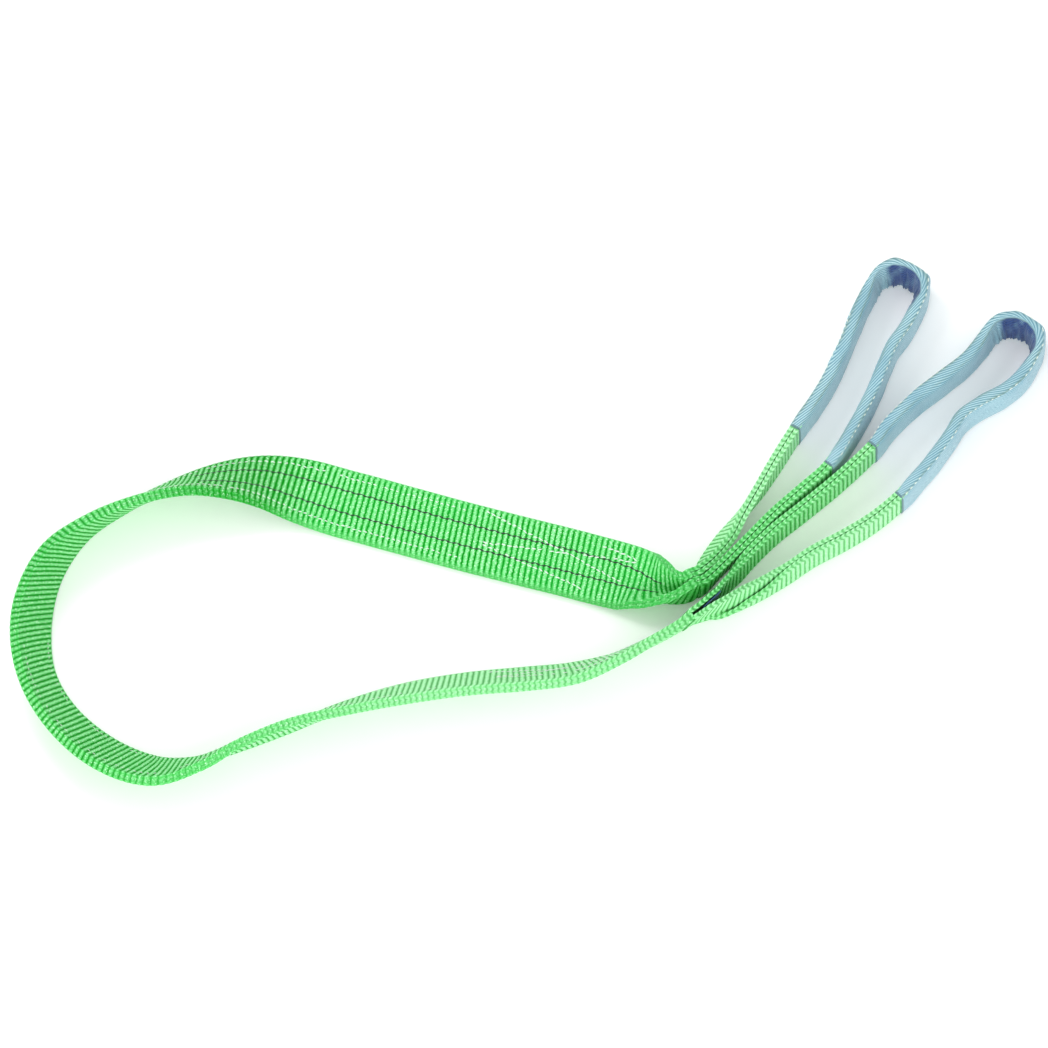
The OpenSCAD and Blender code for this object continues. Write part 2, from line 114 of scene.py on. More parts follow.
B_LEFT = np.array([
    [133.6, -101.4, 108, 0, -26, 1.5], [139.5, -96.5, 108, 0, -26, 1], [148, -88.5, 106, -60, -26, 0.5],
    [157.5, -78, 102, -150, -24, 0], [168, -67, 96, -177, -15, 0], [178.5, -54, 91, -178, -5, 0],
    [190, -39.5, 90, -180, 0, 0], [210, -18, 90, -180, 0, 0], [233, 2, 90, -180, 0, 0],
    [262, 28, 90, -180, 0, 0], [292, 58, 90, -180, 0, SLEEVE_LIFT], [306, 78, 90, -180, 0, SLEEVE_LIFT],
    [328, 102, 90, -180, 0, SLEEVE_LIFT], [350, 121, 90, -180, 0, SLEEVE_LIFT],
    [372, 140, 90, -180, 0, SLEEVE_LIFT], end_row(CROWN_B, CROWN_B[3], -180)], float)
B_RIGHT = np.array([
    [138, -106, 108, 0, -26, 0], [144, -101.5, 108, 0, -26, 0], [154.5, -96, 107, 60, -26, 0],
    [167.5, -88, 104, 150, -24, 0], [181.5, -79.5, 98, 176, -16, 0], [199, -70.5, 94, 176, -7, 0],
    [220.5, -55, 90, 180, 0, 0], [242, -39, 90, 180, 0, 0], [268, -24, 90, 180, 0, 0],
    [292, -8, 90, 180, 0, 0], [314, 11, 90, 180, 0, SLEEVE_LIFT], [327, 27, 90, 180, 0, SLEEVE_LIFT],
    [342, 46, 90, 180, 0, SLEEVE_LIFT], [357, 69, 90, 180, 0, SLEEVE_LIFT],
    [367, 86, 90, 180, 0, SLEEVE_LIFT], [384, 99, 90, 180, 0, SLEEVE_LIFT],
    [403, 110, 90, 180, 0, SLEEVE_LIFT], [419, 126, 90, 180, 0, SLEEVE_LIFT],
    end_row(CROWN_B, CROWN_B[2], 180)], float)
LABEL = np.array([
    [144.1, -97.6, 108, 0, 0, 29], [149.1, -93.1, 107, 0, 0, 29], [154.6, -88.1, 105, 0, 0, 27],
    [160.6, -82.6, 102, 0, 0, 25]], float)


def at(x, y, z=0.0):
    """A point of the route's own figures, in the frame's metres."""
    return ((x - MIDDLE[0]) * MM, (y - MIDDLE[1]) * MM, z * MM)


# ---- Camera and light ----
ELEVATION = math.radians(65)
FRAME_WIDTH = 880.6723 * MM
CAMERA_DISTANCE = 2.4
AIM = np.array([-0.00294, 0.01547, 0.0])

scene = bpy.context.scene
camera = bpy.data.objects.new("camera", bpy.data.cameras.new("camera"))
scene.collection.objects.link(camera)
camera.data.type = "ORTHO"
camera.data.ortho_scale = FRAME_WIDTH
camera.data.clip_end = 20
camera.location = AIM + CAMERA_DISTANCE * np.array([0, -math.cos(ELEVATION), math.sin(ELEVATION)])
camera.rotation_euler = (math.pi / 2 - ELEVATION, 0, 0)
scene.camera = camera
scene.view_settings.view_transform = "Standard"

world = bpy.data.worlds.new("studio")
scene.world = world
world.use_nodes = True
background = world.node_tree.nodes["Background"]
background.inputs["Color"].default_value = (1, 1, 1, 1)
background.inputs["Strength"].default_value = 0.86


def area_light(name, place, size, power):
    """A round lamp that faces the middle of the sling."""
    lamp = bpy.data.objects.new(name, bpy.data.lights.new(name, "AREA"))
    scene.collection.objects.link(lamp)
    lamp.data.shape = "DISK"
    lamp.data.size = size
    lamp.data.energy = power
    lamp.location = place
    x, y, z = place
    lamp.rotation_euler = (math.atan2(math.hypot(x, y), z), 0, math.atan2(y, x) + math.pi / 2)


area_light("key", (-0.8, 0.9, 1.8), 0.9, 14)
area_light("front", (-0.5, -2.0, 1.1), 1.5, 30)
area_light("fill", (1.5, -0.4, 1.2), 1.2, 3)


# ---- Shader helpers ----
class Shader:
    """A node material, with short ways to add and link nodes."""

    def __init__(self, name):
        self.mat = bpy.data.materials.new(name)
        self.mat.use_nodes = True
        self.tree = self.mat.node_tree
        self.bsdf = self.tree.nodes["Principled BSDF"]

    def link(self, source, socket):
        self.tree.links.new(source, socket)

    def put(self, socket, value):
        if isinstance(value, bpy.types.NodeSocket):
            self.link(value, socket)
        else:
            socket.default_value = value

    def math(self, op, a, b=0.0, c=0.0):
        node = self.tree.nodes.new("ShaderNodeMath")
        node.operation = op
        for i, v in enumerate((a, b, c)):
            self.put(node.inputs[i], v)
        return node.outputs[0]

    def uv(self):
        """Across and along the cloth, in millimetres."""
        node = self.tree.nodes.new("ShaderNodeUVMap")
        node.uv_map = "cloth"
        split = self.tree.nodes.new("ShaderNodeSeparateXYZ")
        self.link(node.outputs[0], split.inputs[0])
        across = self.math("MULTIPLY", split.outputs[0], UV_MM)
        along = self.math("MULTIPLY", split.outputs[1], UV_MM)
        return across, along

    def attribute(self, name):
        node = self.tree.nodes.new("ShaderNodeAttribute")
        node.attribute_name = name
        return node.outputs["Fac"]

    def noise(self, scale, detail=2.0, rough=0.5, vector=None):
        node = self.tree.nodes.new("ShaderNodeTexNoise")
        node.inputs["Scale"].default_value = scale
        node.inputs["Detail"].default_value = detail
        node.inputs["Roughness"].default_value = rough
        if vector is None:
            vector = self.tree.nodes.new("ShaderNodeTexCoord").outputs["Object"]
        self.link(vector, node.inputs["Vector"])
        return node.outputs["Fac"]

    def vector(self, x, y, z=0.0):
        node = self.tree.nodes.new("ShaderNodeCombineXYZ")
        for i, v in enumerate((x, y, z)):
            self.put(node.inputs[i], v)
        return node.outputs[0]

    def ramp(self, value, stops):
        node = self.tree.nodes.new("ShaderNodeValToRGB")
        while len(node.color_ramp.elements) < len(stops):
            node.color_ramp.elements.new(0.5)
        for element, (place, colour) in zip(node.color_ramp.elements, stops):
            element.position = place
            element.color = (*colour, 1)
        self.put(node.inputs[0], value)
        return node.outputs[0]

    def mix(self, factor, a, b, kind="MIX"):
        node = self.tree.nodes.new("ShaderNodeMix")
        node.data_type = "RGBA"
        node.blend_type = kind
        self.put(node.inputs[0], factor)
        for socket, v in ((node.inputs[6], a), (node.inputs[7], b)):
            self.put(socket, (*v, 1) if isinstance(v, tuple) else v)
        return node.outputs[2]

    def smooth(self, value, low, high, out_low=0.0, out_high=1.0):
        node = self.tree.nodes.new("ShaderNodeMapRange")
        node.interpolation_type = "SMOOTHSTEP"
        for i, v in enumerate((value, low, high, out_low, out_high)):
            self.put(node.inputs[i], v)
        return node.outputs[0]

    def lerp(self, factor, a, b):
        """a + factor * (b - a), for numbers."""
        return self.math("MULTIPLY_ADD", factor, self.math("SUBTRACT", b, a), a)

    def hump(self, phase):
        """1 halfway between whole numbers of the phase, with a sharp 0 at each."""
        return self.math("ABSOLUTE", self.math("SINE", self.math("MULTIPLY", phase, math.pi)))

    def bump(self, height, distance, strength=1.0, after=None):
        node = self.tree.nodes.new("ShaderNodeBump")
        node.inputs["Strength"].default_value = strength
        node.inputs["Distance"].default_value = distance * MM
        self.link(height, node.inputs["Height"])
        if after is not None:
            self.link(after, node.inputs["Normal"])
        return node.outputs[0]

    def finish(self, colour, normal, rough, sheen=0.0, sheen_tint=(1, 1, 1), specular=0.4):
        self.put(self.bsdf.inputs["Base Color"], colour)
        if normal is not None:
            self.put(self.bsdf.inputs["Normal"], normal)
        self.put(self.bsdf.inputs["Roughness"], rough)
        self.bsdf.inputs["Sheen Weight"].default_value = sheen
        self.bsdf.inputs["Sheen Tint"].default_value = (*sheen_tint, 1)
        self.bsdf.inputs["Sheen Roughness"].default_value = 0.45
        self.bsdf.inputs["Specular IOR Level"].default_value = specular
        return self.mat


# Colours of the web, in linear light
WEB_SHADE = (0.002, 0.370, 0.014)
WEB_BRIGHT = (0.320, 0.970, 0.390)
WEB_PATCH = (0.02, 0.55, 0.07)
WEB_EDGE = (0.330, 0.880, 0.400)
# painted highlight and painted shade, mixed in along the stretches that get painted light
WEB_PAINTED_HIGHLIGHT = (0.560, 0.980, 0.600)
WEB_PAINTED_SHADE = (0.001, 0.260, 0.006)
# painted glints on the crests
WEB_GLINT = (0.72, 0.98, 0.74)


def web_height(s, across, along):
    """Height of the weave, ribs in the middle and a herringbone at the edges, and where the edges are."""
    place = s.vector(s.math("MULTIPLY", across, 0.05), s.math("MULTIPLY", along, 0.05))
    wobble = s.math("MULTIPLY_ADD", s.noise(5.0, 3.0, vector=place), 0.30, -0.15)
    phase = s.math("ADD", s.math("DIVIDE", along, PITCH), wobble)
    rib = s.math("POWER", s.hump(phase), 0.85)
    yarn = s.hump(s.math("DIVIDE", across, 1.5))
    rib = s.math("MULTIPLY", rib, s.math("MULTIPLY_ADD", yarn, 0.24, 0.76))
    zigzag = s.math("PINGPONG", s.math("DIVIDE", across, COLUMN), 1.0)
    column = s.hump(s.math("DIVIDE", across, COLUMN))
    knit = s.hump(s.math("ADD", phase, s.math("MULTIPLY", zigzag, 0.55)))
    knit = s.math("MULTIPLY", knit, s.math("MULTIPLY_ADD", column, 0.45, 0.55))
    edge = s.smooth(s.math("ABSOLUTE", across), 26.6, 28.6)
    knitted = s.math("MULTIPLY", edge, s.math("MULTIPLY_ADD", s.attribute("braid"), 0.6, 0.4))
    return s.lerp(knitted, rib, knit), edge


def web_colour(s, height, edge, fibre, lint_and_glints):
    # painted shade in the hollows of the ribs and a painted highlight on their crests, with random tone from
    # the fibre and the fine noise
    tone = s.math("ADD", height, s.math("MULTIPLY_ADD", fibre, 0.44, -0.22))
    tone = s.math("ADD", tone, s.math("MULTIPLY_ADD", lint_and_glints, 0.60, -0.30))
    darkest = tuple(0.5 * c for c in WEB_SHADE)
    middle = tuple(a + 0.36 * (b - a) for a, b in zip(WEB_SHADE, WEB_BRIGHT))
    colour = s.ramp(tone, [(0.0, darkest), (0.35, WEB_SHADE), (0.70, middle), (1.0, WEB_BRIGHT)])
    patches = s.noise(14.0, 3.0, 0.55)
    colour = s.mix(s.smooth(patches, 0.40, 0.75, 0.0, 0.25), colour, WEB_PATCH)
    # the knitted edges are a little paler than the ribs
    colour = s.mix(s.math("MULTIPLY", edge, 0.12), colour, WEB_EDGE)
    # some stretches get a painted highlight, paler where the light falls on them, most of all on their
    # crests, and others get painted shade, deeper in their hollows
    faded = s.attribute("faded")
    crest = s.smooth(height, 0.15, 0.85, 0.50, 1.15)
    colour = s.mix(s.math("MULTIPLY", faded, crest), colour, WEB_PAINTED_HIGHLIGHT)
    hollow = s.smooth(height, 0.15, 0.95, -1.7, -0.35)
    colour = s.mix(s.math("MULTIPLY", faded, hollow), colour, WEB_PAINTED_SHADE)
    # painted glints of light on the crests
    glint = s.smooth(s.math("MULTIPLY", lint_and_glints, s.lerp(edge, 0.95, 0.90)), 0.54, 0.62, 0.0, 0.85)
    return s.mix(s.math("MULTIPLY", glint, s.smooth(height, 0.25, 0.7)), colour, WEB_GLINT)


def web_material():
    s = Shader("web")
    across, along = s.uv()
    height, edge = web_height(s, across, along)
    drawn_out = s.vector(s.math("MULTIPLY", across, 0.06), s.math("MULTIPLY", along, 0.012))
    fibre = s.noise(90.0, 2.0, 0.6, drawn_out)
    lint_and_glints = s.noise(760.0, 2.0, 0.7)
    colour = web_colour(s, height, edge, fibre, lint_and_glints)
    normal = s.bump(height, 0.60, 0.85)
    normal = s.bump(fibre, 0.12, 0.8, normal)
    rough = s.smooth(height, 0.0, 1.0, 0.80, 0.46)
    return s.finish(colour, normal, rough, 0.05, (0.65, 1.0, 0.70), 0.09)


# Colours of the sleeves: cloth from dark to light, its patches, its navy inside, partly soiling and partly
# painted shade, and its worn edges
CLOTH = [(0.050, 0.155, 0.235), (0.150, 0.345, 0.435), (0.290, 0.530, 0.600), (0.680, 0.880, 0.900)]
CLOTH_PATCH = (0.110, 0.300, 0.420)
NAVY_SOIL_AND_SHADE = ((0.002, 0.012, 0.080), (0.028, 0.085, 0.290))
CLOTH_WORN = (0.150, 0.240, 0.180)
TWILL_PITCH = 1.9


def sleeve_material():
    s = Shader("sleeve_cloth")
    around, along = s.uv()
    wander = s.math("MULTIPLY_ADD", s.noise(18.0, 2.0), 1.6, -0.8)
    slant = s.math("MULTIPLY", along, -0.34 / TWILL_PITCH)
    twill = s.math("ADD", s.math("MULTIPLY", around, 0.94 / TWILL_PITCH), slant)
    line = s.math("POWER", s.hump(s.math("ADD", twill, wander)), 0.8)
    cross = s.hump(s.math("DIVIDE", s.math("ADD", along, s.math("MULTIPLY", around, 0.35)), 0.9))
    height = s.math("MULTIPLY", line, s.math("MULTIPLY_ADD", cross, 0.28, 0.72))
    fibre = s.noise(2200.0, 2.0, 0.6)
    tone = s.math("ADD", height, s.math("MULTIPLY_ADD", fibre, 0.50, -0.25))
    colour = s.ramp(tone, list(zip((0.0, 0.40, 0.78, 1.0), CLOTH)))
    patches = s.noise(22.0, 3.0, 0.6)
    colour = s.mix(s.smooth(patches, 0.40, 0.75, 0.0, 0.45), colour, CLOTH_PATCH)
    # painted shade, partly navy soiling, inside the bearing point
    navy_soil_and_shade = s.mix(s.smooth(height, 0.2, 1.0), *NAVY_SOIL_AND_SHADE)
    colour = s.mix(s.attribute("shade"), colour, navy_soil_and_shade)
    worn = s.math("MULTIPLY", s.attribute("worn"), s.smooth(fibre, 0.3, 0.6))
    colour = s.mix(worn, colour, CLOTH_WORN)
    normal = s.bump(height, 0.28, 0.7)
    normal = s.bump(s.noise(120.0, 3.0, 0.6), 0.8, 0.35, normal)
    rough = s.smooth(height, 0.0, 1.0, 0.75, 0.42)
    return s.finish(colour, normal, rough, 0.35, (0.8, 0.95, 1.0), 0.5)


def thread_material(name, dark, light):
    s = Shader(name)
    across, along = s.uv()
    twist = s.hump(s.math("ADD", s.math("DIVIDE", along, 0.7), s.math("MULTIPLY", across, 0.9)))
    tone = s.math("ADD", twist, s.math("MULTIPLY_ADD", s.noise(1500.0), 0.4, -0.2))
    colour = s.ramp(tone, [(0.0, dark), (1.0, light)])
    return s.finish(colour, s.bump(twist, 0.12, 0.8), s.smooth(twist, 0.0, 1.0, 0.7, 0.4), 0.2)


def label_material():
    s = Shader("label_cloth")
    across, along = s.uv()
    warp = s.hump(s.math("DIVIDE", across, 0.35))
    weft = s.hump(s.math("DIVIDE", along, 0.45))
    weave = s.math("MULTIPLY", warp, weft)
    colour = s.ramp(weave, [(0.0, (0.006, 0.020, 0.110)), (1.0, (0.030, 0.090, 0.380))])
    from_middle = s.math("ABSOLUTE", s.math("SUBTRACT", across, LABEL_TALL / 2))
    border = s.smooth(from_middle, 11.6, 12.2)
    colour = s.mix(s.math("MULTIPLY", border, 0.5), colour, (0.10, 0.22, 0.55))
    return s.finish(colour, s.bump(weave, 0.08, 0.7), s.smooth(weave, 0.0, 1.0, 0.55, 0.32), 0.15)


def floor_material():
    s = Shader("floor")
    grain = s.noise(30.0, 4.0)
    colour = s.ramp(grain, [(0.0, (0.90, 0.90, 0.90)), (1.0, (0.94, 0.94, 0.935))])
    s.bsdf.inputs["Emission Color"].default_value = (1, 1, 1, 1)
    s.bsdf.inputs["Emission Strength"].default_value = 0.12
    return s.finish(colour, s.bump(grain, 0.1, 0.1), 0.8, specular=0.2)


WEB = web_material()
SLEEVE = sleeve_material()
THREAD = thread_material("thread", (0.45, 0.62, 0.50), (0.93, 0.97, 0.93))
TRACER = thread_material("tracer_yarn", (0.001, 0.006, 0.003), (0.012, 0.040, 0.020))
HEM = thread_material("sleeve_hem", (0.040, 0.100, 0.110), (0.150, 0.290, 0.320))
LABEL_CLOTH = label_material()


# ---- Curves and sections ----
def row_at(rows, t):
    """Rows at places t, on a smooth curve through the rows."""
    t = np.atleast_1d(np.asarray(t, float))
    last = len(rows) - 1
    i = np.clip(np.floor(t).astype(int), 0, last - 1)
    f = (t - i)[:, None]
    b, c = rows[i], rows[i + 1]
    a = np.where((i > 0)[:, None], rows[np.maximum(i - 1, 0)], 2 * b - c)
    d = np.where((i + 2 <= last)[:, None], rows[np.minimum(i + 2, last)], 2 * c - b)
    bend = 2 * a - 5 * b + 4 * c - d
    return 0.5 * (2 * b + (c - a) * f + bend * f ** 2 + (3 * b - 3 * c + d - a) * f ** 3)


def left_of(rows, t):
    """The level direction to the left of a route, at places t."""
    last = len(rows) - 1
    p = row_at(rows, np.maximum(0, t - 0.02))
    q = row_at(rows, np.minimum(last, t + 0.02))
    h = np.arctan2(q[:, 1] - p[:, 1], q[:, 0] - p[:, 0])
    return np.stack([-np.sin(h), np.cos(h)], 1)


def web_point(row, turn, across, offset):
    """Section points: row is (n, 6), across and offset are (n, m). Gives u and z, each (n, m)."""
    tilt = np.radians(row[:, 2:3])
    fold = np.radians(row[:, 3:4])
    line = row[:, 4:5]
    s = across - line
    c = np.clip(s, -turn, turn)
    start = tilt - fold / 2
    rate = fold / (2 * turn)
    flat = np.abs(rate) < 1e-6
    safe = np.where(flat, 1.0, rate)
    angle = start + rate * c
    u = np.where(flat, c * np.cos(start), (np.sin(angle) - np.sin(start)) / safe)
    z = np.where(flat, c * np.sin(start), (np.cos(start) - np.cos(angle)) / safe)
    u = u + (s - c) * np.cos(angle) - offset * np.sin(angle)
    z = z + (s - c) * np.sin(angle) + offset * np.cos(angle)
    return u, z


def footing(row, turn, half_t):
    """The middle of each section, across the route, and its lowest height."""
    line = row[:, 4:5]
    ones = np.ones_like(line)
    folds = [line - turn, line - turn / 2, line, line + turn / 2, line + turn]
    w = np.concatenate([-HALF_W * ones, *folds, HALF_W * ones], 1)
    both = np.concatenate([w, w], 1)
    d = np.concatenate([-half_t * np.ones_like(w), half_t * np.ones_like(w)], 1)
    u, z = web_point(row, turn, both, d)
    return (u.min(1) + u.max(1)) / 2, z.min(1)


def placed(line, out, far, up):
    """Points in metres, far out of a middle line and up. line and out each hold an x and a y."""
    x = line[0] - MIDDLE[0] + out[0] * far
    y = line[1] - MIDDLE[1] + out[1] * far
    return np.stack([x, y, np.broadcast_to(up, x.shape)], -1) * MM


def columns(points):
    """The x and the y of points (n, 2 or more), each (n, 1)."""
    return points[:, 0:1], points[:, 1:2]


# A route, the side of it that is the web's left, half the width of its folds and half its thickness
Web = namedtuple("Web", "rows side turn half_t")
DOUBLED = Web(BODY, 1, PAIR_TURN, PAIR_HALF)


def web_surface(web, t, across, offset):
    """Points in metres at places t along a web, (n, m, 3), from across and offset, each (n, m)."""
    row = row_at(web.rows, t)
    foot_u, foot_z = footing(row, web.turn, web.half_t)
    left = web.side * left_of(web.rows, t)
    u, z = web_point(row, web.turn, across, offset)
    z = z - foot_z[:, None] + np.maximum(0, row[:, 5:6])
    return placed(columns(row), columns(left), u - foot_u[:, None], z)


def lengths_along(points):
    """The length from the first point to each."""
    return np.concatenate([[0], np.cumsum(np.linalg.norm(np.diff(points, axis=0), axis=1))])


def measured(rows):
    """Dense places along a route and the length to each, in millimetres."""
    t = np.linspace(0, len(rows) - 1, 200 * (len(rows) - 1) + 1)
    return t, lengths_along(row_at(rows, t)[:, :2])


LENGTHS = {}


def lengths(rows):
    if id(rows) not in LENGTHS:
        LENGTHS[id(rows)] = measured(rows)
    return LENGTHS[id(rows)]


def length_at(rows, t):
    ts, ss = lengths(rows)
    return np.interp(t, ts, ss)


def place_at(rows, s):
    ts, ss = lengths(rows)
    return np.interp(s, ss, ts)


def body_length(t):
    return float(length_at(BODY, t))


def grid_places(rows, first, last, step):
    """Places from first to last that fall on whole steps of length, with both ends."""
    s0, s1 = length_at(rows, first), length_at(rows, last)
    k = np.arange(math.ceil(s0 / step + 0.3), math.floor(s1 / step - 0.3) + 1) * step
    return np.concatenate([[s0], k, [s1]])


# ---- Meshes ----
def mesh_piece(name, points, faces, uvs, mat, attributes=()):
    """A mesh object from points (n, 3), quads (m, 4) and one UV for each corner (m, 4, 2)."""
    mesh = bpy.data.meshes.new(name)
    mesh.vertices.add(len(points))
    mesh.vertices.foreach_set("co", points.astype(np.float32).ravel())
    mesh.loops.add(faces.size)
    mesh.loops.foreach_set("vertex_index", faces.astype(np.int32).ravel())
    mesh.polygons.add(len(faces))
    mesh.polygons.foreach_set("loop_start", np.arange(0, faces.size, 4, dtype=np.int32))
    mesh.update(calc_edges=True)
    mesh.validate()
    layer = mesh.uv_layers.new(name="cloth")
    layer.data.foreach_set("uv", uvs.astype(np.float32).ravel())
    for attribute, values in attributes:
        made = mesh.attributes.new(attribute, "FLOAT", "POINT")
        made.data.foreach_set("value", values.astype(np.float32))
    mesh.polygons.foreach_set("use_smooth", np.ones(len(faces), bool))
    mesh.materials.append(mat)
    piece = bpy.data.objects.new(name, mesh)
    scene.collection.objects.link(piece)
    return piece


def ring_grid(n, m):
    """For each quad between n closed rings of m points: its ring and point, and the two corners there."""
    i, j = np.meshgrid(np.arange(n - 1), np.arange(m), indexing="ij")
    return i, j, i * m + j, i * m + (j + 1) % m


def quads_of(*corners):
    """One row of four for each quad, from a grid of values for each corner."""
    return np.stack(corners, -1).reshape(-1, 4)


def closed(n, m, sides, side_uv, across, along):
    """Faces and UVs of a skin of n rings of m points, with quads that close its first and last ring."""
    faces, uvs = [sides], [side_uv]
    j = np.arange(m // 2 - 1)
    for ring in (0, n - 1):
        first = ring * m
        quads = quads_of(first + j, first + j + 1, first + m - 2 - j, first + m - 1 - j)
        faces.append(quads[:, ::-1] if ring else quads)
        uv = np.zeros((len(quads), 4, 2))
        uv[:, :, 0] = across[j][:, None]
        uv[:, :, 1] = along[ring]
        uvs.append(uv)
    return np.concatenate(faces), np.concatenate(uvs)


def hump(x):
    """1 halfway between whole numbers, with a sharp 0 at each."""
    return np.abs(np.sin(np.pi * x))


def ripple(x, y, seed):
    """A smooth wavy number between about -1 and 1, the same on every run."""
    rng = np.random.default_rng(int(seed) % 99991)
    total = 0.0
    for k in range(5):
        fx, fy = rng.uniform(0.3, 1.3, 2) * (1 + 0.5 * k)
        phase = fx * x + fy * y * rng.choice([-1, 1]) + rng.uniform(0, 6.28)
        total = total + np.sin(phase) / (1 + 0.5 * k)
    return total / 2.6


def smoothstep(x, low, high):
    f = np.clip((x - low) / (high - low), 0, 1)
    return f * f * (3 - 2 * f)


SQUARENESS = 0.22    # power that rounds the edges of a ply, less for squarer ones


def perimeter(low, high, tops=41, ends=7):
    """Across, offset, outwardness and cloth coordinate of the points round one ply."""
    r = (high - low) / 2
    mid = (low + high) / 2
    flat = np.linspace(-(HALF_W - r), HALF_W - r, tops)
    turn = np.linspace(math.pi / 2, -math.pi / 2, ends + 2)[1:-1]
    bulge = r * np.cos(turn) ** SQUARENESS
    rise = r * np.sign(np.sin(turn)) * np.abs(np.sin(turn)) ** SQUARENESS
    w = [flat, HALF_W - r + bulge, flat[::-1], -(HALF_W - r) - bulge]
    d = [np.full(tops, high), mid + rise, np.full(tops, low), mid - rise]
    arc = (math.pi / 2 - turn) * r
    u = [flat, HALF_W - r + arc, flat[::-1], -(HALF_W - r) - arc]
    nw = [np.zeros(tops), np.cos(turn), np.zeros(tops), -np.cos(turn)]
    nd = [np.ones(tops), np.sin(turn), -np.ones(tops), -np.sin(turn)]
    w, d, u, nw, nd = (np.concatenate(x) for x in (w, d, u, nw, nd))
    m = len(w)
    # the coordinate at the end of each edge of the ring, continuous on each stretch
    last_u = np.roll(u, -1).copy()
    last_u[tops + ends - 1] = HALF_W - r + math.pi * r
    last_u[m - 1] = -(HALF_W - r) - math.pi * r
    return w, d, u, last_u, nw, nd


def relief(across, along, seed, braid=0.0):
    """How far the woven surface lies below its crests, from 0 to 1."""
    phase = along / PITCH + 0.05 * ripple(across * 0.15, along * 0.08, seed)
    rib = 1 - hump(phase) ** 0.8
    zigzag = np.abs(((across / COLUMN) % 2) - 1)
    knit = 1 - hump(phase + 0.55 * (1 - zigzag)) * (0.55 + 0.45 * hump(across / COLUMN))
    edge = np.clip((np.abs(across) - 26.5) / 2, 0, 1)
    return rib * (1 - (0.3 + 0.5 * braid) * edge) + (0.25 + 0.5 * braid) * knit * edge


# How far the ribs are pulled askew along the body, in millimetres along for each one across
RAKE = np.array([
    [0, -0.20], [3, -0.22], [4, -0.15], [5, -0.09], [8, -0.09], [9, -0.03], [10, 0.03], [11, 0.12],
    [11.5, 0.16], [12, 0.23], [13, 0.33], [14, 0.41], [15, 0.51], [15.5, 0.62], [16, 0.66], [16.5, 0.62],
    [17, 0.56], [18, 0.43], [18.5, 0.32], [19, 0.22], [19.5, 0.08], [20, -0.04], [20.5, -0.15],
    [21, -0.27], [22, -0.28], [23, -0.20], [26, -0.20], [28, -0.04], [33, -0.06]])


def rake_at(rows, t):
    return np.interp(t, RAKE[:, 0], RAKE[:, 1]) if rows is BODY else 0 * np.asarray(t)


def ply(name, web, first, last, faces_at, faded, braid, depth=0.55, back=0.0):
    """One woven ply between two places of a web. Its painted light (a painted highlight above 0, painted
    shade below 0) and its braid are (places, how much) along it.
    """
    s = grid_places(web.rows, first, last, RING_STEP)
    t = place_at(web.rows, s)
    t[0], t[-1] = first, last
    w, d, u, last_u, nw, nd = perimeter(*faces_at)
    n, m = len(s), len(w)
    along = s[:, None] - rake_at(web.rows, t)[:, None] * w
    braided = np.interp(t, *braid)
    sink = depth * relief(u, along, web.side, braided[:, None])
    # faces between two plies are pressed nearly flat
    between = np.abs(d) < 1.0
    sink = np.clip(sink, 0, depth) * np.where(between, 0.1, 1.0) + 0.02
    ww = w - sink * nw
    # and their edges are sewn shut
    dd = d - sink * nd
    dd = np.where(between & (np.abs(w) > 27), np.sign(d) * 0.015, dd)
    rings = web_surface(web, t, ww, dd)
    if back:
        # the first ring reaches back along the route, so that no slit shows behind it
        head = row_at(web.rows, [0.1])[0, :2] - row_at(web.rows, [0.0])[0, :2]
        rings[0, :, :2] -= head / np.linalg.norm(head) * back * MM
    i, j, a, b = ring_grid(n, m)
    after = (j + 1) % m
    sides = quads_of(a, a + m, b + m, b)
    uu = quads_of(u[j], u[j], last_u[j], last_u[j])
    vv = quads_of(along[i, j], along[i + 1, j], along[i + 1, after], along[i, after])
    faces, uvs = closed(n, m, sides, np.stack([uu, vv], -1) / UV_MM, u / UV_MM, s / UV_MM)
    if web.side < 0:
        faces, uvs = faces[:, ::-1], uvs[:, ::-1]
    # painted light along the ply (a painted highlight above 0, painted shade below 0), and how knitted its
    # edges are
    marks = [("faded", np.repeat(np.interp(t, *faded), m)), ("braid", np.repeat(braided, m))]
    piece = mesh_piece(name, rings.reshape(-1, 3), faces, uvs, WEB, attributes=marks)
    # flat end faces keep the shading of the sides even up to the cut
    piece.data.polygons.foreach_set("use_smooth", np.arange(len(faces)) < len(sides))
    return piece, float(s[-1] - s[0])


THREAD_ROUND = np.linspace(0, 2 * np.pi, 8, endpoint=False)    # angles of the points round a thread
THREAD_GIRTH = 4     # millimetres round a thread, in its UVs


def surface_line(web, offset, centre, s, radius, flat):
    """A thin thread laid on a face: rings round the line at lengths s, at the places across in centre."""
    ww = centre[:, None] + radius[:, None] * np.cos(THREAD_ROUND)
    dd = offset[:, None] + flat * radius[:, None] * np.sin(THREAD_ROUND)
    return web_surface(web, place_at(web.rows, s), ww, dd)


